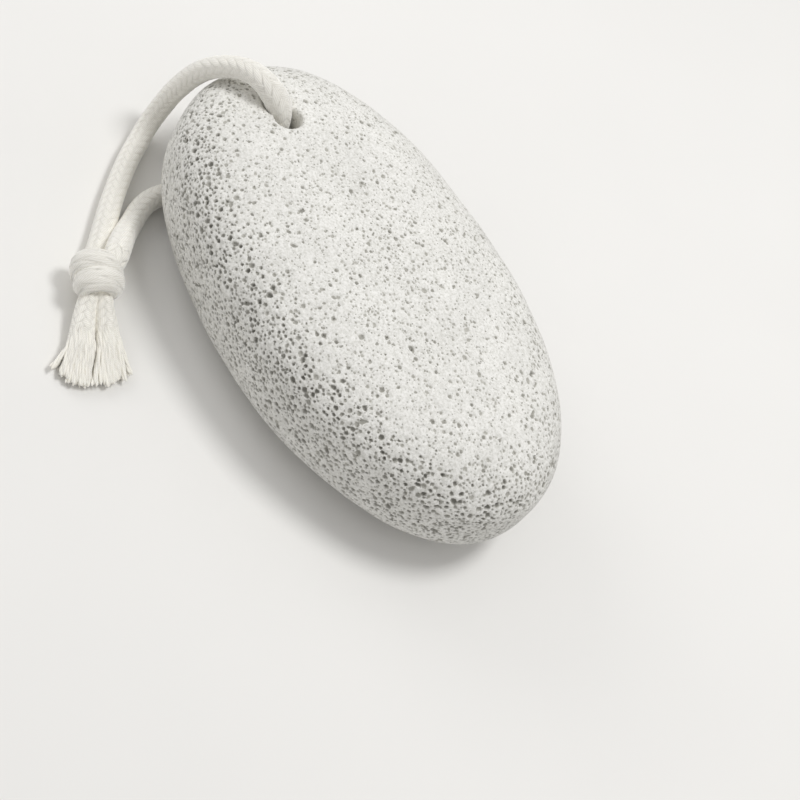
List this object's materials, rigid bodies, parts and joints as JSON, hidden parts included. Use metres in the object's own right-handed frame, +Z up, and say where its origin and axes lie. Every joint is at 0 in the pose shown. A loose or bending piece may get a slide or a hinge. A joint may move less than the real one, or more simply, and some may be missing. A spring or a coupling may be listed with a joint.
{
  "type": "pumice stone",
  "caption": "Rounded oval pumice stone with a drilled end and a looped, knotted hanging cord with frayed ends.",
  "frame": {"origin": "middle of the stone's outline, on the plane it rests on", "axes": "+X along the stone's long axis, away from the drilled end; +Z up, through its thickness; the knot lies on the -Y side"},
  "size_m": [0.1057, 0.0834, 0.0313],
  "materials": {
    "pumice": "dry, porous, matt stone",
    "cotton": "braided matt cotton"
  },
  "bodies": {
    "root": {"pumice_stone": "pumice", "cord": "cotton", "knot": "cotton", "frayed_end_left": "cotton", "frayed_end_right": "cotton"}
  },
  "joints": []
}
